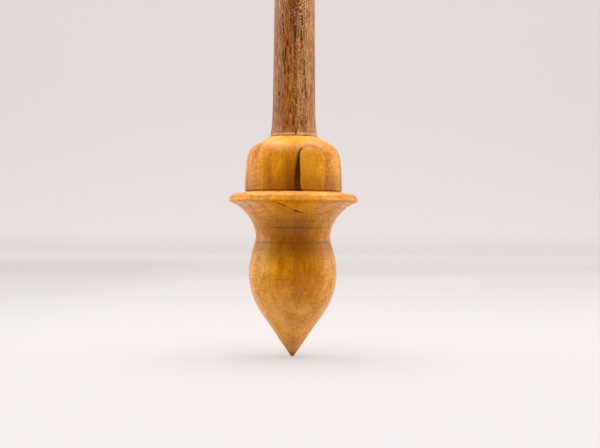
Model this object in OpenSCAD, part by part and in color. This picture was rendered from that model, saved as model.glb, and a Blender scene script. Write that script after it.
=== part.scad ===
// Hand support spindle for spinning yarn, in two turned woods.
// A whorl turned from one blank carries the spinning point, and a slim tapered shaft is
// tenoned into its domed top. Sizes are in millimetres. The origin is the spinning point,
// on the axis, and +Z runs up the shaft.

/* [Bulb and point] */
// Radius of the ball that rounds the spinning point
tip_r = 0.65; // [0.4:0.05:1.5]
// Angle between the axis and the side of the fine point
point_half_angle = 35; // [28:0.5:40]
// Height at which the fine point meets the bulb's cone
point_h = 4.8; // [3.5:0.1:8]
// Rise of the bulb's cone above the fine point
cone_h = 6.3; // [3:0.1:9]
// Diameter at the top of the bulb's cone
cone_d = 16.1; // [14:0.1:19]
// Diameter of the bulb at its belly
belly_d = 24.5; // [21:0.1:30]
// Rise from the top of the cone to the belly
belly_rise = 12.4; // [8:0.1:18]

/* [Neck and cove] */
// Diameter at the incised line between bulb and neck
lower_line_d = 21.3; // [21:0.1:24]
// Rise from the belly to the lower incised line
lower_line_rise = 8.4; // [6:0.1:12]
// Diameter of the waist, the slimmest place of the neck
waist_d = 20.8; // [15:0.1:21.2]
// Rise from the lower incised line to the waist
waist_rise = 1.6; // [1:0.1:4]
// Diameter at the incised line between neck and cove
upper_line_d = 21.8; // [21:0.1:24]
// Rise from the waist to the upper incised line
upper_line_rise = 2.5; // [1.5:0.1:5]
// Diameter where the cove turns out under the flange
cove_d = 29.4; // [26:0.1:31]
// Rise of the cove above the upper incised line
cove_rise = 5.4; // [4:0.1:9]
// Width of an incised line
line_w = 0.36; // [0.2:0.02:0.6]
// Depth of an incised line
line_depth = 0.14; // [0.06:0.02:0.3]

/* [Flange] */
// Diameter of the whorl at its widest place, the flange's rim
flange_d = 36; // [33:0.5:44]
// Radius of the rim's under edge
rim_under_r = 0.55; // [0.3:0.05:1]
// Rise of the flange's underside from the cove to the rim
underside_rise = 1.55; // [1:0.05:3]
// Rise of the rim's rounded upper edge, from its widest place to the flat shoulder
rim_over_rise = 2.15; // [1:0.05:4]
// Width of the rim's rounded upper edge
rim_over_w = 2.9; // [1.2:0.1:3.4]

/* [Dome] */
// Diameter of the dome at its foot
dome_d = 27.1; // [24:0.1:29]
// Depth of the V-cut that parts the dome from the shoulder
quirk_depth = 0.3; // [0.1:0.05:0.8]
// Height of the V-cut
quirk_h = 0.65; // [0.3:0.05:1.2]
// Height of the dome's nearly straight wall, above the V-cut
dome_wall_h = 8.2; // [5:0.1:14]
// How much narrower the dome is at the top of that wall
dome_wall_taper = 0.85; // [0.2:0.05:2]
// Diameter where the dome's shoulder turns into its sloping top
crown_d = 20.8; // [17:0.1:22]
// Rise of the dome's rounded shoulder
crown_rise = 4.7; // [3:0.1:8]
// Rise of the dome's sloping top
crown_top_rise = 1.9; // [1:0.05:3]
// Diameter of the flat seat on which the shaft's foot stands
seat_d = 14.2; // [13.8:0.1:16]

/* [Shaft] */
// Length of the shaft that shows above the whorl
shaft_len = 224; // [150:1:260]
// Diameter of the foot, which is a small rounded lip
foot_d = 13.26; // [12.8:0.02:13.7]
// Height of that lip
lip_h = 0.95; // [0.6:0.05:2]
// How far the lip bulges out
lip_bulge = 0.12; // [0.04:0.02:0.2]
// Diameter at the top of the flare's tight curve
flare_d = 12.3; // [12:0.02:12.6]
// Rise of that tight curve above the lip
flare_rise = 2.4; // [1.5:0.1:5]
// Diameter of the shaft where its long taper starts
shaft_d = 11.84; // [9.5:0.02:12.2]
// Rise from the tight curve to the start of the long taper
root_rise = 7.2; // [4:0.1:12]
// Diameter of the shaft just below its rounded upper end
shaft_end_d = 3.9; // [3:0.1:7]
// How much the taper steepens from the flare to the upper end, in degrees
shaft_swell = 1.2; // [0:0.1:2]

/* [Joint] */
// Diameter of the tenon on the shaft's foot
tenon_d = 8; // [6:0.1:10]
// Length of the tenon
tenon_len = 22; // [12:1:30]
// Chamfer on the tenon's end
tenon_chamfer = 0.6; // [0.2:0.1:1.5]
// Clearance all round the tenon, filled with glue
glue_gap = 0.05; // [0.02:0.01:0.15]
// Room left for glue between the tenon's end and the bottom of its hole
glue_pocket = 1; // [0.5:0.1:3]
// Angle of the drill's point, which the blind hole ends in
drill_angle = 118; // [90:1:140]

/* [Hidden] */
$fn = 96;

whorl_colour = "#cf8c3a";
shaft_colour = "#a56c3e";

// Directions along an outline as it runs upwards.
OUTWARDS = [1, 0];
UP = [0, 1];
INWARDS = [-1, 0];

// How far the outline leans inwards from upright, in degrees. Below 0 it leans outwards.
point_lean = -31;     // where the fine point meets the cone
cone_lean = -36;      // at the top of the cone
lower_line_lean = 15; // the bulb closes in towards the neck
upper_line_lean = -18; // the neck opens into the cove
cove_lean = -48;      // the cove's upper end
underside_lean = -63; // the flange's underside at the rim
dome_wall_lean = 8;   // the top of the dome's wall
crown_lean = 59;      // the dome's shoulder, where its sloping top starts
crown_top_lean = 61;  // the edge of the seat
lip_lean = 45;        // the shaft's lip at its upper edge, and outwards at its lower one
flare_lean = 11;      // the foot of the shaft's flare
root_lean = 3.5;      // the top of the flare's tight curve

// Points on each stretch of curve.
LONG = 14;
MIDDLE = 8;
SHORT = 5;

// Heights above the spinning point, each built on the one before.
cone_z = point_h + cone_h;
belly_z = cone_z + belly_rise;
lower_line_z = belly_z + lower_line_rise;
waist_z = lower_line_z + waist_rise;
upper_line_z = waist_z + upper_line_rise;
cove_z = upper_line_z + cove_rise;
underside_z = cove_z + underside_rise;
rim_z = underside_z + rim_under_r;
shoulder_z = rim_z + rim_over_rise;
dome_z = shoulder_z + quirk_h;
dome_wall_z = dome_z + dome_wall_h;
crown_z = dome_wall_z + crown_rise;
seat_z = crown_z + crown_top_rise;
lip_z = seat_z + lip_h;
flare_z = lip_z + flare_rise;
shaft_z = flare_z + root_rise;
end_z = seat_z + shaft_len;
// How far a cutter runs past the face that it cuts.
over_cut = 1;

// A step of length 1 upwards, which leans inwards by an angle.
function leaning(lean) = [-sin(lean), cos(lean)];

// The points after a, up to b, of a smooth curve that leaves a in the direction a_way and
// reaches b in the direction b_way. Between two points on a circle it follows the circle.
function bend(a, a_way, b, b_way, steps) =
    let (turn = 2 * asin(norm(b_way - a_way) / 2),
         reach = norm(b - a) / (3 * pow(cos(turn / 4), 2)),
         a_hand = a + reach * a_way,
         b_hand = b - reach * b_way)
    [for (i = [1:steps])
        let (t = i / steps, u = 1 - t)
        u * u * u * a + 3 * u * u * t * a_hand + 3 * u * t * t * b_hand + t * t * t * b];

// The lower edge, the bottom and the upper edge of a V-shaped line that is cut into an
// outline where it passes p in the direction way.
function line_start(p, way) = p - line_w / 2 * way;
function line_bottom(p, way) = p + line_depth * [-way.y, way.x];
function line_end(p, way) = p + line_w / 2 * way;

module whorl_outline() {
    point_way = leaning(-point_half_angle);
    ball_end = tip_r * [cos(point_half_angle), 1 - sin(point_half_angle)];
    point = ball_end + (point_h - ball_end.y) / point_way.y * point_way;
    cone = [cone_d / 2, cone_z];
    belly = [belly_d / 2, belly_z];
    lower_line = [lower_line_d / 2, lower_line_z];
    lower_way = leaning(lower_line_lean);
    waist = [waist_d / 2, waist_z];
    upper_line = [upper_line_d / 2, upper_line_z];
    upper_way = leaning(upper_line_lean);
    cove = [cove_d / 2, cove_z];
    cove_way = leaning(cove_lean);
    underside = [flange_d / 2 - rim_under_r, underside_z];
    underside_way = leaning(underside_lean);
    rim = [flange_d / 2, rim_z];
    shoulder = [flange_d / 2 - rim_over_w, shoulder_z];
    dome = [dome_d / 2, dome_z];
    quirk_bottom = [dome.x - quirk_depth, shoulder_z + quirk_h / 2];
    dome_wall = [(dome_d - dome_wall_taper) / 2, dome_wall_z];
    dome_wall_way = leaning(dome_wall_lean);
    crown = [crown_d / 2, crown_z];
    crown_way = leaning(crown_lean);
    seat = [seat_d / 2, seat_z];
    polygon(concat(
        [[0, 0]],
        bend([0, 0], OUTWARDS, ball_end, point_way, SHORT),
        [point],
        bend(point, leaning(point_lean), cone, leaning(cone_lean), SHORT),
        bend(cone, leaning(cone_lean), belly, UP, LONG),
        bend(belly, UP, line_start(lower_line, lower_way), lower_way, MIDDLE),
        [line_bottom(lower_line, lower_way), line_end(lower_line, lower_way)],
        bend(line_end(lower_line, lower_way), lower_way, waist, UP, SHORT),
        bend(waist, UP, line_start(upper_line, upper_way), upper_way, SHORT),
        [line_bottom(upper_line, upper_way), line_end(upper_line, upper_way)],
        bend(line_end(upper_line, upper_way), upper_way, cove, cove_way, MIDDLE),
        bend(cove, cove_way, underside, underside_way, SHORT),
        bend(underside, underside_way, rim, UP, SHORT),
        bend(rim, UP, shoulder, INWARDS, MIDDLE),
        [[dome.x, shoulder_z], quirk_bottom, dome],
        bend(dome, UP, dome_wall, dome_wall_way, MIDDLE),
        bend(dome_wall, dome_wall_way, crown, crown_way, LONG),
        bend(crown, crown_way, seat, leaning(crown_top_lean), SHORT),
        [[0, seat_z]]));
}

// The blind hole for the tenon, with the drill's point at its bottom.
module tenon_hole() {
    hole_r = tenon_d / 2 + glue_gap;
    hole_depth = tenon_len + glue_pocket;
    point_depth = hole_r / tan(drill_angle / 2);
    translate([0, 0, seat_z - hole_depth])
        rotate_extrude()
            polygon([
                [0, -point_depth],
                [hole_r, 0],
                [hole_r, hole_depth + over_cut],
                [0, hole_depth + over_cut]]);
}

module whorl() {
    color(whorl_colour)
        difference() {
            rotate_extrude()
                whorl_outline();
            tenon_hole();
        }
}

module shaft() {
    tenon_r = tenon_d / 2;
    tenon_z = seat_z - tenon_len;
    lip_edge = foot_d / 2 - lip_bulge;
    lip = [foot_d / 2, seat_z + lip_h / 2];
    neck = [lip_edge, lip_z];
    flare = [flare_d / 2, flare_z];
    root = [shaft_d / 2, shaft_z];
    end_r = shaft_end_d / 2;
    end = [end_r, end_z - end_r];
    taper = atan((root.x - end.x) / (end.y - root.y));
    root_way = leaning(root_lean);
    taper_start = leaning(taper - shaft_swell / 2);
    taper_end = leaning(taper + shaft_swell / 2);
    color(shaft_colour)
        rotate_extrude()
            polygon(concat(
                [[0, tenon_z], [tenon_r - tenon_chamfer, tenon_z], [tenon_r, tenon_z + tenon_chamfer]],
                [[tenon_r, seat_z], [lip_edge, seat_z]],
                bend([lip_edge, seat_z], leaning(-lip_lean), lip, UP, SHORT),
                bend(lip, UP, neck, leaning(lip_lean), SHORT),
                bend(neck, leaning(flare_lean), flare, root_way, SHORT),
                bend(flare, root_way, root, taper_start, SHORT),
                bend(root, taper_start, end, taper_end, LONG),
                bend(end, taper_end, [0, end_z], INWARDS, MIDDLE)));
}

whorl();
shaft();
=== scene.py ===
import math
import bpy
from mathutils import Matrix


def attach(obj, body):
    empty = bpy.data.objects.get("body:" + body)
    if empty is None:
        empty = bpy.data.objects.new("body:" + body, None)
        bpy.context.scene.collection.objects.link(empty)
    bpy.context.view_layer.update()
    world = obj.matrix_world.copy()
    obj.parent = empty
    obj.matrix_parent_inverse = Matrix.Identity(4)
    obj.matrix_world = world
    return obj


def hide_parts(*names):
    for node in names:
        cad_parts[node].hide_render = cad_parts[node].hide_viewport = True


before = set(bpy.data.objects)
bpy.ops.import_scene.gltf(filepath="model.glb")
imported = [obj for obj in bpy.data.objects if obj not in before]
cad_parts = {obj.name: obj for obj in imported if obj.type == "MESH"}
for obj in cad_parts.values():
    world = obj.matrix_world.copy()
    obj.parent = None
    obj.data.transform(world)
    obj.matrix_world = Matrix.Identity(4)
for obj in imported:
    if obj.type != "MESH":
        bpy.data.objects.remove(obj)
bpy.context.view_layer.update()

# The looks of a hand support spindle: a honey-coloured fruitwood whorl and a brown
# open-grained shaft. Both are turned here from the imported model's own outlines, with finer
# curves and eased corners. Lengths are metres, and millimetres in the woods' own coordinates.
from types import SimpleNamespace

import bpy
import numpy as np
from mathutils import Vector

MM = 0.001

# ---------------------------------------------------------------- the photograph's framing
PHOTO_W = 600
PHOTO_H = 448
TIP_PX = (292.2, 356.2)      # where the spinning point stands
MM_PER_PX = 0.2795           # at the spindle's axis
FOCAL_PX = 1050
LEAN = math.radians(0.41)    # the spindle leans to the right in the picture
SENSOR_MM = 36


def on_front(x_px, y_px, radius):
    """Where a pixel falls on the front of a round of this radius: x and z in millimetres."""
    right = (x_px - TIP_PX[0] - (TIP_PX[1] - y_px) * math.tan(LEAN)) * MM_PER_PX
    above_eye = (PHOTO_H / 2 - y_px) * MM_PER_PX
    eye = (TIP_PX[1] - PHOTO_H / 2) * MM_PER_PX
    nearness = 1 - math.sqrt(max(0, radius**2 - right**2)) / (FOCAL_PX * MM_PER_PX)
    return right * nearness, eye + above_eye * nearness


def add_camera():
    data = bpy.data.cameras.new("camera")
    data.sensor_width = SENSOR_MM
    data.lens = FOCAL_PX / PHOTO_W * SENSOR_MM
    data.clip_start = 0.01
    camera = bpy.data.objects.new("camera", data)
    bpy.context.collection.objects.link(camera)
    right = Vector((math.cos(LEAN), 0, math.sin(LEAN)))
    up = Vector((-math.sin(LEAN), 0, math.cos(LEAN)))
    forward = Vector((0, 1, 0))
    px = MM_PER_PX * MM
    across = (TIP_PX[0] - PHOTO_W / 2) * px
    above = (PHOTO_H / 2 - TIP_PX[1]) * px
    camera.location = -(forward * FOCAL_PX * px + right * across + up * above)
    camera.rotation_euler = (math.pi / 2, -LEAN, 0)
    bpy.context.scene.camera = camera


# ---------------------------------------------------------------- the turned outlines
SAME_RING = 0.005 * MM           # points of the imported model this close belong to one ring
CORNER_TURN = math.radians(22)   # a sharper turn in an outline is a real corner
EASE = 0.05 * MM                 # how far a corner is eased
ROUND_STEPS = 4


def cad_outline(node):
    """The outline of a turned CAD node as an array of (radius, height), from end to end."""
    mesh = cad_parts[node].data
    rings = []
    ring_of = []
    for vertex in mesh.vertices:
        spot = (math.hypot(vertex.co.x, vertex.co.y), vertex.co.z)
        same = [i for i, ring in enumerate(rings) if math.dist(ring, spot) < SAME_RING]
        if not same:
            rings.append(spot)
        ring_of.append(same[0] if same else len(rings) - 1)
    beside = {ring: set() for ring in range(len(rings))}
    for edge in mesh.edges:
        a, b = (ring_of[i] for i in edge.vertices)
        if a != b:
            beside[a].add(b)
            beside[b].add(a)
    ends = [ring for ring in beside if len(beside[ring]) == 1]
    path = [min(ends, key=lambda ring: rings[ring][1])]
    for _ in rings[1:]:
        path.append(next(ring for ring in beside[path[-1]] if ring not in path))
    outline = [rings[ring] for ring in path]
    return np.array([(0, outline[0][1])] * (outline[0][0] > 0) + outline
                    + [(0, outline[-1][1])] * (outline[-1][0] > 0))


def corners(path):
    """The places of an outline's corners, and of its two ends."""
    legs = np.diff(path, axis=0)
    headings = np.arctan2(legs[:, 1], legs[:, 0])
    turns = np.abs((np.diff(headings) + math.pi) % (2 * math.pi) - math.pi)
    return [0, *(np.flatnonzero(turns > CORNER_TURN) + 1), len(path) - 1]


def curve_through(run, spacing):
    """A smooth curve through a run of an outline, with points about spacing apart."""
    if len(run) == 2:
        count = max(2, math.ceil(np.linalg.norm(run[1] - run[0]) / spacing) + 1)
        return np.linspace(run[0], run[1], count)
    lengths = np.linalg.norm(np.diff(run, axis=0), axis=1)
    slopes = np.diff(run, axis=0) / lengths[:, None]
    inner = (slopes[:-1] * lengths[1:, None] + slopes[1:] * lengths[:-1, None])
    inner /= (lengths[:-1] + lengths[1:])[:, None]
    first = 1.5 * slopes[0] - 0.5 * inner[0]
    last = 1.5 * slopes[-1] - 0.5 * inner[-1]
    tangents = np.vstack([first, inner, last])
    points = [run[0]]
    for i, length in enumerate(lengths):
        count = max(1, math.ceil(length / spacing))
        for t in np.arange(1, count + 1) / count:
            points.append(
                (2 * t**3 - 3 * t**2 + 1) * run[i]
                + (t**3 - 2 * t**2 + t) * length * tangents[i]
                + (3 * t**2 - 2 * t**3) * run[i + 1]
                + (t**3 - t**2) * length * tangents[i + 1])
    return np.array(points)


def eased(corner, before, after):
    """A short curve round a corner, between the outline's points before and after it."""
    start = corner + (before - corner) * min(0.5, EASE / np.linalg.norm(before - corner))
    end = corner + (after - corner) * min(0.5, EASE / np.linalg.norm(after - corner))
    t = np.linspace(0, 1, ROUND_STEPS + 1)[:, None]
    return (1 - t)**2 * start + 2 * t * (1 - t) * corner + t**2 * end


def fine_outline(path, spacing):
    """The outline with smooth curves between its corners, and with the corners eased."""
    marks = corners(path)
    runs = [curve_through(path[a:b + 1], spacing) for a, b in zip(marks, marks[1:])]
    fine = [path[:1]]
    for run, following in zip(runs, runs[1:]):
        fine += [run[1:-1], eased(run[-1], run[-2], following[1])]
    fine.append(runs[-1][1:])
    return np.vstack(fine)


def turn(name, path, columns):
    """A closed mesh made by turning an outline, which starts and ends on the axis."""
    rings = path[1:-1]
    angles = np.arange(columns) * 2 * math.pi / columns
    round_xy = np.stack([np.cos(angles), np.sin(angles)], 1)
    places = np.empty((len(rings), columns, 3))
    places[:, :, :2] = rings[:, 0, None, None] * round_xy
    places[:, :, 2] = rings[:, 1, None]
    poles = [(0, 0, path[0][1]), (0, 0, path[-1][1])]
    places = np.vstack([places.reshape(-1, 3), poles])
    here = np.arange(columns)
    there = (here + 1) % columns
    first_pole = len(rings) * columns
    faces = []
    for row in range(len(rings) - 1):
        a, b = row * columns, (row + 1) * columns
        faces += np.stack([a + here, a + there, b + there, b + here], 1).tolist()
    top = (len(rings) - 1) * columns
    faces += [(int(j), int(i), first_pole) for i, j in zip(here, there)]
    faces += [(int(top + i), int(top + j), first_pole + 1) for i, j in zip(here, there)]
    mesh = bpy.data.meshes.new(name)
    mesh.from_pydata(places.tolist(), [], faces)
    mesh.polygons.foreach_set("use_smooth", [True] * len(mesh.polygons))
    mesh.update()
    piece = bpy.data.objects.new(name, mesh)
    bpy.context.collection.objects.link(piece)
    return piece


# ---------------------------------------------------------------- shader graphs
TONE_LIGHT = 0.52    # how much a tone of 1 lightens a colour
TONE_GAMMA = 0.62    # and how much it lowers its gamma


class Graph:
    """Adds nodes to a material. A value is a number, a colour or another node's output."""

    def __init__(self, name):
        self.material = bpy.data.materials.new(name)
        self.material.use_nodes = True
        self.tree = self.material.node_tree
        self.shader = self.tree.nodes["Principled BSDF"]

    def feed(self, socket, value):
        if isinstance(value, bpy.types.NodeSocket):
            self.tree.links.new(value, socket)
        else:
            socket.default_value = value

    def add(self, kind, *values, **settings):
        node = self.tree.nodes.new(kind)
        for name, setting in settings.items():
            setattr(node, name, setting)
        for socket, value in zip(node.inputs, values):
            self.feed(socket, value)
        return node

    def maths(self, operation, *values):
        return self.add("ShaderNodeMath", *values, operation=operation).outputs[0]

    def plus(self, a, b):
        return self.maths("ADD", a, b)

    def minus(self, a, b):
        return self.maths("SUBTRACT", a, b)

    def times(self, a, b):
        return self.maths("MULTIPLY", a, b)

    def most(self, a, b):
        return self.maths("MAXIMUM", a, b)

    def remap(self, value, low, high, to_low=0.0, to_high=1.0):
        """Carries low to high smoothly over to to_low to to_high, and holds those beyond."""
        node = self.add("ShaderNodeMapRange", value, low, high, to_low, to_high,
                        interpolation_type="SMOOTHSTEP")
        return node.outputs[0]

    def near(self, value, middle, half, soft):
        """1 within half of middle, falling to 0 over a further soft."""
        apart = self.maths("ABSOLUTE", self.minus(value, middle))
        return self.remap(apart, half, half + soft, 1.0, 0.0)

    def spot(self, x, z, middle, across, up):
        """1 round an (x, z) middle. The (half, soft) sizes across and up are those of near."""
        return self.times(self.near(x, middle[0], *across), self.near(z, middle[1], *up))

    def scaled(self, place, x, y, z):
        """Coordinates in which a length of x, y or z along each axis counts as 1."""
        node = self.add("ShaderNodeVectorMath", place, (1 / x, 1 / y, 1 / z), operation="MULTIPLY")
        return node.outputs[0]

    def noise(self, place, size, detail=2.0, roughness=0.5):
        """Noise from about 0 to 1 whose features have the given (x, y, z) size."""
        node = self.add("ShaderNodeTexNoise")
        self.feed(node.inputs["Vector"], self.scaled(place, *size))
        for name, value in (("Scale", 1.0), ("Detail", detail), ("Roughness", roughness)):
            node.inputs[name].default_value = value
        return node.outputs["Fac"]

    def mix(self, factor, a, b, blend="MIX"):
        node = self.add("ShaderNodeMix", data_type="RGBA", blend_type=blend)
        for socket, value in zip((node.inputs[0], node.inputs[6], node.inputs[7]), (factor, a, b)):
            self.feed(socket, value)
        return node.outputs[2]

    def band(self, colour, value, sizes, weight, tint):
        """Mixes some of a tint into a colour in a band. Its sizes are near's middle, half, soft."""
        return self.mix(self.times(self.near(value, *sizes), weight), colour, tint)

    def shade(self, colour, amount):
        """A colour times a grey amount."""
        node = self.add("ShaderNodeVectorMath", colour, operation="SCALE")
        self.feed(node.inputs["Scale"], amount)
        return node.outputs[0]

    def tone(self, colour, amount):
        """Lightens a colour towards yellow where amount is over 0, and deepens it under 0."""
        lit = self.shade(colour, self.plus(1.0, self.times(amount, TONE_LIGHT)))
        gamma = self.minus(1.0, self.times(amount, TONE_GAMMA))
        return self.add("ShaderNodeGamma", lit, gamma).outputs[0]

    def around(self, value, middle, swing):
        """Noise of 0 to 1 as a value of middle, less or more by swing."""
        return self.plus(middle - swing, self.times(value, 2 * swing))

    def surface(self, colour, roughness, gloss):
        self.feed(self.shader.inputs["Base Color"], colour)
        self.feed(self.shader.inputs["Roughness"], roughness)
        self.shader.inputs["Specular IOR Level"].default_value = gloss

    def bump(self, height, strength, distance):
        """Roughens the surface, where a height of 1 is a distance in metres."""
        node = self.add("ShaderNodeBump")
        node.inputs["Strength"].default_value = strength
        node.inputs["Distance"].default_value = distance
        self.feed(node.inputs["Height"], height)
        self.feed(self.shader.inputs["Normal"], node.outputs[0])


def rgb(red, green, blue):
    """A colour of 0 to 255 as the linear light that the shaders use."""
    def linear(value):
        value /= 255
        return value / 12.92 if value <= 0.04045 else ((value + 0.055) / 1.055) ** 2.4
    return (linear(red), linear(green), linear(blue), 1.0)


def wood_places(g):
    """The spindle's coordinates in millimetres, as a vector and as x, y and z."""
    coordinates = g.add("ShaderNodeTexCoord").outputs["Object"]
    place = g.scaled(coordinates, MM, MM, MM)
    xyz = g.add("ShaderNodeSeparateXYZ", place).outputs
    return place, xyz[0], xyz[1], xyz[2]


# ---------------------------------------------------------------- fruitwood
# Lengths and heights are mm. A band is a middle, how far it goes to either side in full, and
# how far it then fades. A fade is two places and the values there, or 0 and 1 if none are
# given. A ring's depth is counted from the axis to its crest, which faces the front.
RING_SPACING = 4.3
RING_START = 0.15                       # the depth of the ring next to the axis
RING_TURN = (15, 42, -math.radians(14), -math.radians(24))  # they face right, more so higher up
RING_BEND = 0.015                       # how fast the rings close in on the dome
RING_BEND_Z = 50                        # and the height above which they do
RING_LEAN = (46, 57, -0.09, 0.10)       # how far they lean back, up the dome
WAVER = 0.3                             # how far the rings waver
WAVER_SIZE = (9.0, 9.0, 26.0)
RAGGED = 0.14                           # and how ragged they are
RAGGED_SIZE = (1.2, 1.2, 5.0)

# A year counts from 0 to 1, from one ring to the next
DARKENING = (0.25, 0.98)                # the wood darkens slowly over this part of a year
LATE_LINE = (0.86, 0.97)                # and in a thin line of late wood over this one
DARKENING_WEIGHT = 0.9
LATE_LINE_WEIGHT = 0.35
LATE_FADE = (36, 48, 0.24, 0.3)         # how dark both are, up the whorl
LATE_WOOD = (0.47, 0.30, 0.30, 1)

BULB_WOOD = rgb(232, 149, 11)
DOME_WOOD = rgb(229, 151, 20)
BELOW_DOME = (41, 46, 1.0, 0.0)
LOW_FADE = (13, 22, 0.7, 0.0)           # painted reflection of the floor, palest low on the bulb
LOW_PAINTED_REFLECTION = rgb(238, 164, 74)
FLANK = (4.5, 10.5)                     # out from the middle, where the sides turn away
FLANK_WEIGHT = 0.52                     # painted sheen makes the bulb pale there too
FLANK_PAINTED_SHEEN = rgb(236, 170, 84)

# The figure: its sizes across, in depth and along the grain, and how much it lightens
MOTTLES_SIZE = (4.0, 4.0, 11.0)
MOTTLES = 0.60
FIBRES_SIZE = (0.42, 0.42, 4.5)
FIBRES = 0.46
RAYS_SIZE = (0.3, 2.4, 0.9)
RAYS = 0.24
CURLS_SIZE = (1.5, 1.5, 0.42)
CURLS = 0.20
FLANK_CURLS = 1.6                       # the curls are that much stronger on the flanks
HEIGHT_TONE = (24, 50, 0.06, -0.04)     # a little paler low on the whorl than high up
PORES_SIZE = (0.22, 0.22, 1.2)
PORES_FROM = (0.68, 0.80)               # they open where the noise is this high
PORES_WEIGHT = 0.42
PORES_WOOD = rgb(120, 58, 10)

# Spots: a darker patch low on the bulb's front, painted shade in the middle of its front, painted
# light towards its left side, and a lighter spot on the dome's right. Their (x, z) middle, (half,
# soft) sizes across and up, and how much lighter they are
FRONT_SPOTS = (
    ((3.1, 20.6), (2.0, 4.5), (3.4, 3.8), -0.32),
    ((-2.5, 23.3), (1.0, 1.8), (2.2, 2.6), -0.18),
    ((-6.3, 28.2), (1.2, 2.2), (2.6, 3.4), 0.46))
SPOTS_FRONT = (-3.0, 0.0, 1.0, 0.0)     # they are on the front, and fade out towards the back
DOME_SPOT = ((7.4, 49.0), (0.8, 1.6), (2.5, 3.0), 0.22)

# Bands of the whorl's height with painted shade and painted light, and how much lighter they are
PAINTED_LIGHT_AND_SHADE_BANDS = (
    (57.2, 0.8, 1.8, -0.16),            # painted shade on the dome's shoulder
    (44.9, 0.4, 0.5, -0.16),            # painted shade on the rim's face
    (43.65, 0.1, 0.4, 0.16),            # painted light on its under edge
    (42.9, 0.15, 0.4, -0.18))           # and painted shade on the cove below it
# painted light on the rim's under edge
RIM_EDGE = (43.6, 0.1, 0.4)
RIM_EDGE_PAINTED_LIGHT = 0.22
RIM = (44.2, 0.7, 0.6)
RIM_ENDS_PAINTED_SHADE = (9.5, 15.0, 0.0, -0.17)      # painted shade makes the rim darker towards its ends
CROWN = (60.3, 0.8, 1.2)
CROWN_FADE = (3.0, 6.5, 0.22, 0.0)      # a painted highlight makes the dome's crown pale, but not on the right
CROWN_PAINTED_HIGHLIGHT = rgb(226, 166, 84)
# a painted highlight along the rim's top
RIM_TOP = (45.4, 0.3, 0.3)
RIM_TOP_WEIGHT = 0.4
RIM_TOP_PAINTED_HIGHLIGHT = rgb(210, 158, 84)

# Gum lies against the inside of one ring. Across is from the ring's crest to the right.
GUM_DEPTH = 13.05
GUM_INSIDE = (GUM_DEPTH - 0.04, GUM_DEPTH + 0.03, 1.0, 0.0)
GUM_ACROSS = (-4.0, 1.0, 0.8)
GUM_FROM = (39.6, 40.6)
GUM_BOTTOM = (47, 57, GUM_DEPTH - 0.80, GUM_DEPTH - 0.40)   # it is thickest low on the dome
GUM_SOFT = 0.34
GUM_WEIGHT = 0.94
GUM = rgb(64, 16, 3)
SECOND_GUM_ACROSS = (-9.1, 1.0, 0.8)    # a second mark on the cove
SECOND_GUM_FROM = (41.0, 41.7)
SECOND_GUM_BOTTOM = (GUM_DEPTH - 0.5, GUM_DEPTH - 0.3)
HALO_ACROSS = (-4.8, 1.8, 2.2)          # the wood beside the gum on the dome is dark
HALO_FROM = (45.0, 46.5)
HALO_FADE = (49, 58, 0.60, 0.0)
HALO_WOOD = rgb(122, 54, 6)
OUTER_FADE = (45, 48, 0.0, 0.4)         # and outside the gum's ring it is pale
OUTER_ACROSS = (-1.0, 3.4, 1.0, 0.2)
OUTER_WOOD = rgb(224, 148, 46)

# The heights of the turned lines, and how dark they are
LINES = ((31.9, 0.24), (36.0, 0.06), (30.2, 0.10), (37.9, 0.12), (40.0, 0.08))
LINE_SIZE = (0.06, 0.38)                # half and soft
SHADOWS = (((30.9, 0.7, 1.4), 0.17), ((36.3, 0.3, 0.8), 0.06))     # painted shadows beside two of the lines
# the dark in the turned lines, and in the painted shadows beside them
LINE_AND_PAINTED_SHADOW_COLOUR = rgb(96, 42, 4)
SMUDGE = (29.2, 1.2, 2.6)
SMUDGE_MOTTLES = (0.52, 0.40, 0.0, 0.08)    # it holds to the darker mottles
SMUDGE_FINISH = rgb(120, 60, 10)
SCRATCH = ((-3.1, 22.0), (2.1, 0.3), (0.05, 0.16))
SCRATCH_FRONT = (-1.0, 0.0, 0.36, 0.0)
SCRATCH_FINISH = rgb(110, 52, 6)
# painted shade on the neck under the flange
NECK = (32.8, 3.2, 6.5)
NECK_REACH = (29.5, 34.0, 0.62, 0.82)   # the painted shade of the neck reaches farther out low down
NECK_FADE = (2.0, 7.6, 0.58, 0.12)
NECK_PAINTED_SHADE = rgb(128, 56, 2)
DUSK_FROM = (45.9, 46.4)                # painted shade at the dome's foot, less so higher up
DUSK_FADE = (46.8, 52.0, 0.42, 0.0)
DOME_FOOT_PAINTED_SHADE = rgb(120, 68, 12)
# a painted shadow in the groove at the dome's foot
FOOT = (46.0, 0.12, 0.16)
FOOT_WEIGHT = 0.5
FOOT_PAINTED_SHADOW = rgb(118, 86, 38)
WORN = (1.5, 6.4, 0.4, 0.0)             # the point is worn dark, and most at its end
WORN_END = (0.2, 2.4, 0.45, 0.0)
WORN_WOOD = rgb(124, 68, 26)


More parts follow.
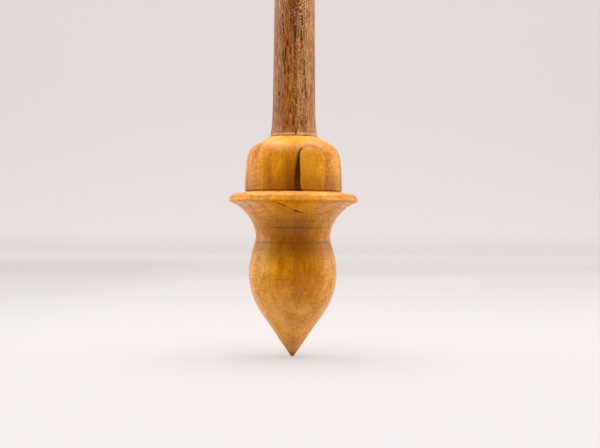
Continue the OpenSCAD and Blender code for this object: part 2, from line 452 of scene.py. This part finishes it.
def fruitwood_places(g):
    """Where a point lies in the whorl and in the rings of its tree."""
    place, x, y, z = wood_places(g)
    turned = g.add("ShaderNodeVectorRotate", rotation_type="Z_AXIS")
    g.feed(turned.inputs["Vector"], place)
    g.feed(turned.inputs["Angle"], g.remap(z, *RING_TURN))
    tree = turned.outputs[0]
    across, behind = g.add("ShaderNodeSeparateXYZ", tree).outputs[:2]
    above = g.most(g.minus(z, RING_BEND_Z), 0.0)
    depth = g.minus(g.times(g.times(above, above), RING_BEND), behind)
    depth = g.plus(depth, g.remap(z, *RING_LEAN))
    depth = g.plus(depth, g.around(g.noise(tree, WAVER_SIZE, detail=1.0), 0.0, WAVER))
    depth = g.plus(depth, g.around(g.noise(tree, RAGGED_SIZE, detail=2.0), 0.0, RAGGED))
    aside = g.maths("ABSOLUTE", x)
    return SimpleNamespace(x=x, y=y, z=z, tree=tree, across=across, depth=depth, aside=aside,
                           flank=g.remap(aside, *FLANK))


def year_part(g, year, part):
    """Rises over a part of the year, and falls by the year's end."""
    return g.times(g.remap(year, *part), g.remap(year, part[1], 1.0, 1.0, 0.0))


def fruitwood_years(g, wood):
    """The wood's plain colour, which darkens towards the end of each year, with a painted
    reflection of the floor low on the bulb and painted sheen on its flanks.
    """
    below = g.remap(wood.z, *BELOW_DOME)
    colour = g.mix(below, DOME_WOOD, BULB_WOOD)
    # painted reflection of the floor, low on the bulb
    colour = g.mix(g.remap(wood.z, *LOW_FADE), colour, LOW_PAINTED_REFLECTION)
    # painted sheen on the flanks of the bulb, cove and neck
    colour = g.mix(g.times(g.times(wood.flank, below), FLANK_WEIGHT), colour, FLANK_PAINTED_SHEEN)
    year = g.maths("FRACT", g.times(g.minus(wood.depth, RING_START), 1 / RING_SPACING))
    darkening = g.times(year_part(g, year, DARKENING), DARKENING_WEIGHT)
    late = g.plus(darkening, g.times(year_part(g, year, LATE_LINE), LATE_LINE_WEIGHT))
    late = g.times(late, g.remap(wood.z, *LATE_FADE))
    return g.mix(late, colour, LATE_WOOD, blend="MULTIPLY")


def fruitwood_tone(g, wood, mottles, fibres):
    """How much lighter or darker than its plain colour the wood is, with painted shade and painted
    light in some spots and bands.
    """
    rays = g.noise(wood.tree, RAYS_SIZE, detail=1.0)
    curls = g.noise(wood.tree, CURLS_SIZE, detail=1.0)
    curls = g.times(g.around(curls, 0.0, CURLS), g.plus(1.0, g.times(wood.flank, FLANK_CURLS)))
    tone = g.around(mottles, 0.0, MOTTLES)
    tone = g.plus(tone, g.around(fibres, 0.0, FIBRES))
    tone = g.plus(tone, g.around(rays, 0.0, RAYS))
    tone = g.plus(tone, curls)
    tone = g.plus(tone, g.remap(wood.z, *HEIGHT_TONE))
    front = g.remap(wood.y, *SPOTS_FRONT)
    # a darker patch, painted shade and painted light on the front
    for *spot, lighter in FRONT_SPOTS:
        weight = g.times(g.spot(wood.x, wood.z, *spot), front)
        tone = g.plus(tone, g.times(weight, lighter))
    # painted shade and painted light in bands of height
    for *band, lighter in PAINTED_LIGHT_AND_SHADE_BANDS:
        tone = g.plus(tone, g.times(g.near(wood.z, *band), lighter))
    *spot, lighter = DOME_SPOT
    return g.plus(tone, g.times(g.spot(wood.x, wood.z, *spot), lighter))


def fruitwood_rims(g, wood, colour):
    """Painted light on the rim's under edge, painted shade towards the rim's ends, and painted
    highlights on the dome's crown and the rim's top.
    """
    # painted light on the rim's under edge
    edge = g.times(g.near(wood.z, *RIM_EDGE), RIM_EDGE_PAINTED_LIGHT)
    colour = g.shade(colour, g.plus(1.0, edge))
    # painted shade towards the rim's ends
    ends = g.times(g.near(wood.z, *RIM), g.remap(wood.aside, *RIM_ENDS_PAINTED_SHADE))
    colour = g.shade(colour, g.plus(1.0, ends))
    # a painted highlight on the dome's crown
    crown = g.times(g.near(wood.z, *CROWN), g.remap(wood.x, *CROWN_FADE))
    colour = g.mix(crown, colour, CROWN_PAINTED_HIGHLIGHT)
    # a painted highlight along the rim's top
    return g.band(colour, wood.z, RIM_TOP, RIM_TOP_WEIGHT, RIM_TOP_PAINTED_HIGHLIGHT)


def fruitwood_gum(g, wood, colour):
    """A streak of dark gum on the dome and the cove, and a second mark on the cove."""
    inside = g.remap(wood.depth, *GUM_INSIDE)
    outer = g.times(g.minus(1.0, inside), g.remap(wood.z, *OUTER_FADE))
    outer = g.times(outer, g.remap(wood.across, *OUTER_ACROSS))
    colour = g.mix(outer, colour, OUTER_WOOD)

    halo = g.times(g.near(wood.across, *HALO_ACROSS), g.remap(wood.z, *HALO_FROM))
    halo = g.times(g.times(halo, inside), g.remap(wood.z, *HALO_FADE))
    colour = g.mix(halo, colour, HALO_WOOD)

    above_bottom = g.minus(wood.depth, g.remap(wood.z, *GUM_BOTTOM))
    streak = g.times(inside, g.remap(above_bottom, 0.0, GUM_SOFT))
    streak = g.times(streak, g.near(wood.across, *GUM_ACROSS))
    streak = g.times(streak, g.remap(wood.z, *GUM_FROM))
    second = g.times(inside, g.remap(wood.depth, *SECOND_GUM_BOTTOM))
    second = g.times(second, g.near(wood.across, *SECOND_GUM_ACROSS))
    second = g.times(second, g.remap(wood.z, *SECOND_GUM_FROM))
    return g.mix(g.times(g.most(streak, second), GUM_WEIGHT), colour, GUM)


def fruitwood_lines(g, wood, mottles, colour):
    """Darkening in the turned lines, painted shadows beside two of them, and dark finish in a
    scratch on the bulb.
    """
    for line_z, weight in LINES:
        colour = g.band(colour, wood.z, (line_z, *LINE_SIZE), weight, LINE_AND_PAINTED_SHADOW_COLOUR)
    smudge = g.times(g.near(wood.z, *SMUDGE), g.remap(mottles, *SMUDGE_MOTTLES))
    colour = g.mix(smudge, colour, SMUDGE_FINISH)
    scratch = g.times(g.spot(wood.x, wood.z, *SCRATCH), g.remap(wood.y, *SCRATCH_FRONT))
    colour = g.mix(scratch, colour, SCRATCH_FINISH)
    # painted shadows beside two of the lines
    for shadow, weight in SHADOWS:
        colour = g.band(colour, wood.z, shadow, weight, LINE_AND_PAINTED_SHADOW_COLOUR)
    return colour


def fruitwood_dark_places(g, wood, colour):
    """Painted shade on the neck and at the dome's foot, a painted shadow in the groove at the foot,
    and the worn point.
    """
    # painted shade on the neck
    reach = g.times(wood.aside, g.remap(wood.z, *NECK_REACH))
    neck = g.times(g.near(wood.z, *NECK), g.remap(reach, *NECK_FADE))
    colour = g.mix(neck, colour, NECK_PAINTED_SHADE)
    # painted shade at the dome's foot
    dusk = g.times(g.remap(wood.z, *DUSK_FROM), g.remap(wood.z, *DUSK_FADE))
    colour = g.mix(dusk, colour, DOME_FOOT_PAINTED_SHADE)
    # a painted shadow in the groove at the dome's foot
    colour = g.band(colour, wood.z, FOOT, FOOT_WEIGHT, FOOT_PAINTED_SHADOW)
    worn = g.plus(g.remap(wood.z, *WORN), g.remap(wood.z, *WORN_END))
    return g.mix(worn, colour, WORN_WOOD)


def fruitwood():
    g = Graph("fruitwood")
    wood = fruitwood_places(g)
    mottles = g.noise(wood.tree, MOTTLES_SIZE, detail=4.0, roughness=0.6)
    fibres = g.noise(wood.tree, FIBRES_SIZE, detail=3.0, roughness=0.65)
    pores = g.remap(g.noise(wood.tree, PORES_SIZE, detail=1.0), *PORES_FROM)
    colour = g.tone(fruitwood_years(g, wood), fruitwood_tone(g, wood, mottles, fibres))
    colour = fruitwood_rims(g, wood, colour)
    colour = g.mix(g.times(pores, PORES_WEIGHT), colour, PORES_WOOD)
    colour = fruitwood_gum(g, wood, colour)
    colour = fruitwood_lines(g, wood, mottles, colour)
    colour = fruitwood_dark_places(g, wood, colour)
    g.surface(colour, roughness=g.around(mottles, 0.30, 0.08), gloss=0.22)
    g.bump(g.minus(g.times(fibres, 0.6), pores), strength=0.3, distance=0.03 * MM)
    return g.material


# ---------------------------------------------------------------- dark hardwood
SHAFT_RADIUS = 6.1                      # mm, near the whorl
SHAFT_FRONT = (-1.0, 0.0, 1.0, 0.0)     # what was read from the photograph fades out there
STREAKS_SIZE = (2.0, 2.0, 18.0)         # dark and pale streaks along the grain
STREAKS_FROM = (0.32, 0.68)
DARK_STREAKS = rgb(142, 77, 29)
PALE_STREAKS = rgb(198, 135, 72)
TINTS_SIZE = (3.2, 3.2, 30.0)           # and broader ones of a rosier brown
TINTS_FROM = (0.45, 0.7, 0.0, 0.4)
TINTS_WOOD = rgb(196, 126, 74)
BANDS_Y_PX = 60                         # the row of the photograph that these were read in
PINK_PX = 284                           # the shaft is pinkish to the left of this
PINK_SOFT = (-1.1, 1.3)                 # its edge is soft over this much on either side
PINK_WEIGHT = 0.6
PINK_WOOD = rgb(162, 103, 56)
# Bands along the front: the middle in pixels, half and soft, a fade of the weight up the
# shaft, and the colour
BANDS = (
    (289.99, 1.146, 1.7, (76, 86, 0.8, 0.5), rgb(172, 94, 15)),
    (302, 0.7, 1.4, (66, 75, 0.1, 0.5), rgb(220, 154, 90)),
    (293.5, 1.1, 0.9, (84, 92, 0.0, 0.4), rgb(118, 64, 24)))
RIGHT_SIDE = (2.6, 4.6, 0.0, 0.45)      # the right side is pale, and the more so higher up
RIGHT_FADE = (82, 94, 0.3, 1.0)
RIGHT_WOOD = rgb(226, 160, 96)

ARCH_X_PX = 299                         # the grain's arches stand one above the other here
ARCH_RISE = 0.25
ARCH_STEP = 0.27                        # between layers, seen as arches about 1 mm apart
ARCH_TONE = 0.24
ARCH_WANDER = 0.55
ARCH_WANDER_SIZE = (1.6, 1.6, 3.5)
ARCH_PATCHES_SIZE = (1.6, 1.6, 5.0)     # they show in patches
ARCH_PATCHES = (0.38, 0.62, 0.1, 1.0)
ARCH_TOP = (90, 95, 0.0, 1.5)           # and stand out high on the shaft

# The longest open vessels, as x, top and bottom in the photograph's pixels
VESSELS_PX = (
    (282.8, 13, 19), (283.7, 27, 35), (302.5, 16, 25), (287.7, 38, 46), (290.6, 47, 54),
    (283.3, 49, 57), (285.7, 48, 57), (284.8, 64, 74), (288.8, 65, 74), (306.2, 91, 98),
    (295.2, 26, 58), (293.5, 117, 125), (287.8, 77, 80), (302.6, 89, 92), (296.1, 109, 112),
    (290.7, 109, 113), (301.4, 121, 125), (287.6, 121, 125), (279.1, 91, 96), (283.2, 20, 26),
    (301.5, 28, 40), (296.3, 97, 104), (304.4, 60, 75), (305.3, 78, 90))
VESSEL_WIDTH = (0.13, 0.14)             # half and soft
VESSEL_TAPER = 0.2                      # each end begins to fade this far inside its mark
VESSEL_END = 0.5                        # and fades over this length
PORE_PX = (295.8, 132.6)                # a pore in the lip, and its sizes across and up
PORE_SIZE = ((0.18, 0.18), (0.4, 0.3))
MORE_VESSELS_SIZE = (0.42, 0.42, 4.2)   # and others all round
MORE_VESSELS_FROM = (0.70, 0.78)
BROKEN_SIZE = (0.5, 0.5, 0.9)           # all of them are broken up
BROKEN = (0.3, 0.55, 0.55, 1.0)
VESSELS_WEIGHT = 0.9
VESSELS_WOOD = rgb(52, 30, 24)

SHAFT_FIBRES_SIZE = (0.26, 0.26, 2.6)
SHAFT_FIBRES = 1.8
TICKS_SIZE = (0.26, 0.26, 1.3)          # short dark ticks between the fibres
TICKS_FROM = (0.60, 0.72)
TICKS_WEIGHT = 0.6
TICKS_WOOD = rgb(84, 46, 24)
LIP = (61.62, 0.16, 0.16)               # the band of a painted highlight on the lip
LIP_X = 0.3                             # it is brightest here
LIP_FADE = (2.0, 4.5, 0.9, 0.4)
LIP_PAINTED_HIGHLIGHT = rgb(255, 208, 150)


def band_x(x_px):
    return on_front(x_px, BANDS_Y_PX, SHAFT_RADIUS)[0]


def shaft_bands(g, place, x, z, front):
    """The shaft's plain colour, with broad bands along the grain."""
    streaks = g.remap(g.noise(place, STREAKS_SIZE, detail=3.0, roughness=0.6), *STREAKS_FROM)
    colour = g.mix(streaks, DARK_STREAKS, PALE_STREAKS)
    tints = g.remap(g.noise(place, TINTS_SIZE, detail=1.0), *TINTS_FROM)
    colour = g.mix(tints, colour, TINTS_WOOD)
    pink_ends = [band_x(PINK_PX) + soft for soft in PINK_SOFT]
    pink = g.times(g.remap(x, *pink_ends, PINK_WEIGHT, 0.0), front)
    colour = g.mix(pink, colour, PINK_WOOD)
    for x_px, half, soft, fade, wood in BANDS:
        band = g.times(g.near(x, band_x(x_px), half, soft), front)
        colour = g.mix(g.times(band, g.remap(z, *fade)), colour, wood)
    right = g.times(g.remap(x, *RIGHT_SIDE), g.remap(z, *RIGHT_FADE))
    return g.mix(right, colour, RIGHT_WOOD)


def shaft_arches(g, place, x, y, z):
    """The tone of the wood's layers, which the round shaft cuts into arches on one side."""
    turn_angle = math.asin(band_x(ARCH_X_PX) / SHAFT_RADIUS)
    crest = g.minus(g.times(x, math.sin(turn_angle)), g.times(y, math.cos(turn_angle)))
    layer = g.plus(crest, g.times(z, ARCH_RISE))
    wander = g.noise(place, ARCH_WANDER_SIZE, detail=2.0)
    layer = g.plus(layer, g.around(wander, 0.0, ARCH_WANDER))
    wave = g.maths("SINE", g.times(layer, 2 * math.pi / ARCH_STEP))
    figure = g.remap(g.noise(place, ARCH_PATCHES_SIZE, detail=2.0), *ARCH_PATCHES)
    figure = g.plus(figure, g.remap(z, *ARCH_TOP))
    return g.times(g.times(wave, ARCH_TONE), figure)


def shaft_vessels(g, place, x, z, front):
    """1 in the open vessels: those that the photograph shows, and others all round."""
    vessels = g.remap(g.noise(place, MORE_VESSELS_SIZE, detail=0.0), *MORE_VESSELS_FROM)
    for x_px, top_px, bottom_px in VESSELS_PX:
        mark_x, top = on_front(x_px, top_px, SHAFT_RADIUS)
        bottom = on_front(x_px, bottom_px, SHAFT_RADIUS)[1]
        length = ((top - bottom) / 2 - VESSEL_TAPER, VESSEL_END)
        mark = g.spot(x, z, (mark_x, (top + bottom) / 2), VESSEL_WIDTH, length)
        vessels = g.most(vessels, g.times(mark, front))
    pore = g.spot(x, z, on_front(*PORE_PX, SHAFT_RADIUS), *PORE_SIZE)
    vessels = g.most(vessels, g.times(pore, front))
    return g.times(vessels, g.remap(g.noise(place, BROKEN_SIZE, detail=1.0), *BROKEN))


def dark_hardwood():
    g = Graph("dark_hardwood")
    place, x, y, z = wood_places(g)
    front = g.remap(y, *SHAFT_FRONT)
    fibres = g.noise(place, SHAFT_FIBRES_SIZE, detail=4.0, roughness=0.7)
    ticks = g.remap(g.noise(place, TICKS_SIZE, detail=1.0), *TICKS_FROM)
    vessels = shaft_vessels(g, place, x, z, front)
    tone = g.plus(shaft_arches(g, place, x, y, z), g.around(fibres, 0.0, SHAFT_FIBRES))
    colour = g.tone(shaft_bands(g, place, x, z, front), tone)
    colour = g.mix(g.times(ticks, TICKS_WEIGHT), colour, TICKS_WOOD)
    colour = g.mix(g.times(vessels, VESSELS_WEIGHT), colour, VESSELS_WOOD)
    # a painted highlight along the lip, broken by the vessels
    lip_highlight_fade = g.remap(g.maths("ABSOLUTE", g.minus(x, LIP_X)), *LIP_FADE)
    lip = g.times(g.near(z, *LIP), g.times(lip_highlight_fade, g.minus(1.0, vessels)))
    colour = g.mix(lip, colour, LIP_PAINTED_HIGHLIGHT)
    g.surface(colour, roughness=0.46, gloss=0.3)
    g.bump(g.minus(g.times(fibres, 0.5), vessels), strength=0.5, distance=0.06 * MM)
    return g.material


# ---------------------------------------------------------------- the spindle
def add_spindle():
    """Turns both nodes anew, each with its material, spacing of points and columns."""
    makers = {
        "whorl": ("fruitwood", fruitwood, 0.3 * MM, 192),
        "shaft": ("dark_hardwood", dark_hardwood, 1.0 * MM, 96)}
    for node, (slot, material, spacing, columns) in makers.items():
        piece = turn("turned_" + node, fine_outline(cad_outline(node), spacing), columns)
        piece.data.materials.append(material())
        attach(piece, "root")
        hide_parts(node)


# ---------------------------------------------------------------- floor and light
FLOOR_FRONT = -1.0
FLOOR_BACK = 1.0
SWEEP = 0.25                    # the radius of the curve from the floor to the backdrop
SWEEP_STEPS = 12
BACKDROP_TOP = 1.4
STAGE_HALF = 1.6
# The paper's colour changes between these distances behind the spindle, or heights
GLARE_BACK = (0.02, 0.34)       # the light on the table fades
TABLE_EDGE = 0.436              # the table's edge behind the middle
EDGE_SLANT = 0.5                # and how much farther back it is to the right, by the metre
EDGE_SOFT = (-0.05, 0.06)
PAPER_BACK = (0.54, 0.94)       # the paper beyond the table is lighter farther back
WALL_FOOT = (0.0, 0.03)         # and where it rises
FLOOR_FRONT_DARK = (-0.30, -0.13)   # painted shade: out of the picture in front, the floor is dark
DIM_SIDE = (-0.20, 0.06, 0.07)  # the floor is dimmer on the left: middle, half and soft
DIM_BACK = (0.6, 0.9, -0.06, 0.0)   # by this much, and less farther back
GLARE_COLOUR = (0.190, 0.180, 0.1795, 1)
TABLE_COLOUR = (0.1676, 0.1580, 0.1570, 1)
PAPER_COLOUR = (0.160, 0.149, 0.146, 1)
FAR_COLOUR = (0.195, 0.181, 0.178, 1)
WALL_COLOUR = (0.215, 0.200, 0.196, 1)
DARK_COLOUR = (0.05, 0.047, 0.046, 1)
GLOW_THROUGH = 2.5              # light that comes through the paper, which softens shadows
ROOM_FROM = (-0.65, 0.35)       # directions from the camera's side round to the sides
ROOM_GLOW = (0.02, 2.0)         # and how bright the room is there
ROOM_COLOUR = (1.0, 0.96, 0.95, 1)


def pale_paper():
    g = Graph("pale_paper")
    coordinates = g.add("ShaderNodeTexCoord").outputs["Object"]
    side, behind, height = g.add("ShaderNodeSeparateXYZ", coordinates).outputs
    past_edge = g.minus(behind, g.plus(g.times(side, EDGE_SLANT), TABLE_EDGE))
    paper = g.mix(g.remap(behind, *GLARE_BACK), GLARE_COLOUR, TABLE_COLOUR)
    paper = g.mix(g.remap(past_edge, *EDGE_SOFT), paper, PAPER_COLOUR)
    paper = g.mix(g.remap(behind, *PAPER_BACK), paper, FAR_COLOUR)
    paper = g.mix(g.remap(height, *WALL_FOOT), paper, WALL_COLOUR)
    dim = g.times(g.near(side, *DIM_SIDE), g.remap(behind, *DIM_BACK))
    paper = g.shade(paper, g.plus(1.0, dim))
    # painted shade on the floor in front of the spindle
    paper = g.mix(g.remap(behind, *FLOOR_FRONT_DARK), DARK_COLOUR, paper)
    g.surface(paper, roughness=0.9, gloss=0.1)
    g.feed(g.shader.inputs["Emission Color"], paper)
    g.shader.inputs["Emission Strength"].default_value = GLOW_THROUGH
    return g.material


def add_stage():
    outline = [(FLOOR_FRONT, 0.0), (FLOOR_BACK, 0.0)]
    for step in range(1, SWEEP_STEPS + 1):
        angle = step / SWEEP_STEPS * math.pi / 2
        outline.append((FLOOR_BACK + SWEEP * math.sin(angle), SWEEP * (1 - math.cos(angle))))
    outline.append((FLOOR_BACK + SWEEP, BACKDROP_TOP))
    places = [(side, y, z) for y, z in outline for side in (-STAGE_HALF, STAGE_HALF)]
    faces = [(2 * i, 2 * i + 1, 2 * i + 3, 2 * i + 2) for i in range(len(outline) - 1)]
    mesh = bpy.data.meshes.new("floor")
    mesh.from_pydata(places, [], faces)
    mesh.polygons.foreach_set("use_smooth", [True] * len(mesh.polygons))
    mesh.materials.append(pale_paper())
    floor = bpy.data.objects.new("floor", mesh)
    bpy.context.collection.objects.link(floor)


def add_softbox(name, place, towards, width, height, glow):
    """A softbox of the given size whose face is as bright as glow, where 1 is a white page."""
    data = bpy.data.lights.new(name, "AREA")
    data.shape = "RECTANGLE"
    data.size = width
    data.size_y = height
    data.energy = glow * math.pi * width * height
    light = bpy.data.objects.new(name, data)
    light.location = place
    light.rotation_euler = (Vector(towards) - Vector(place)).to_track_quat("-Z", "Y").to_euler()
    bpy.context.collection.objects.link(light)


def add_room():
    """A pale room that is dark on the camera's side."""
    world = bpy.data.worlds.new("room")
    world.use_nodes = True
    nodes = world.node_tree.nodes
    links = world.node_tree.links
    background = nodes["Background"]
    background.inputs["Color"].default_value = ROOM_COLOUR
    way = nodes.new("ShaderNodeTexCoord")
    split = nodes.new("ShaderNodeSeparateXYZ")
    glow = nodes.new("ShaderNodeMapRange")
    glow.interpolation_type = "SMOOTHSTEP"
    for socket, value in zip(glow.inputs, (0, *ROOM_FROM, *ROOM_GLOW)):
        socket.default_value = value
    links.new(way.outputs["Generated"], split.inputs[0])
    links.new(split.outputs["Y"], glow.inputs["Value"])
    links.new(glow.outputs[0], background.inputs["Strength"])
    bpy.context.scene.world = world


def add_light():
    add_softbox("overhead", place=(0, -0.1, 0.8), towards=(0, -0.1, 0),
                width=1.1, height=1.2, glow=3.3)
    add_softbox("backdrop", place=(0, 0.35, 0.75), towards=(0, 1.25, 0.2),
                width=1.8, height=0.5, glow=2.6)
    add_room()


bpy.context.scene.view_settings.view_transform = "Standard"
add_camera()
add_spindle()
add_stage()
add_light()
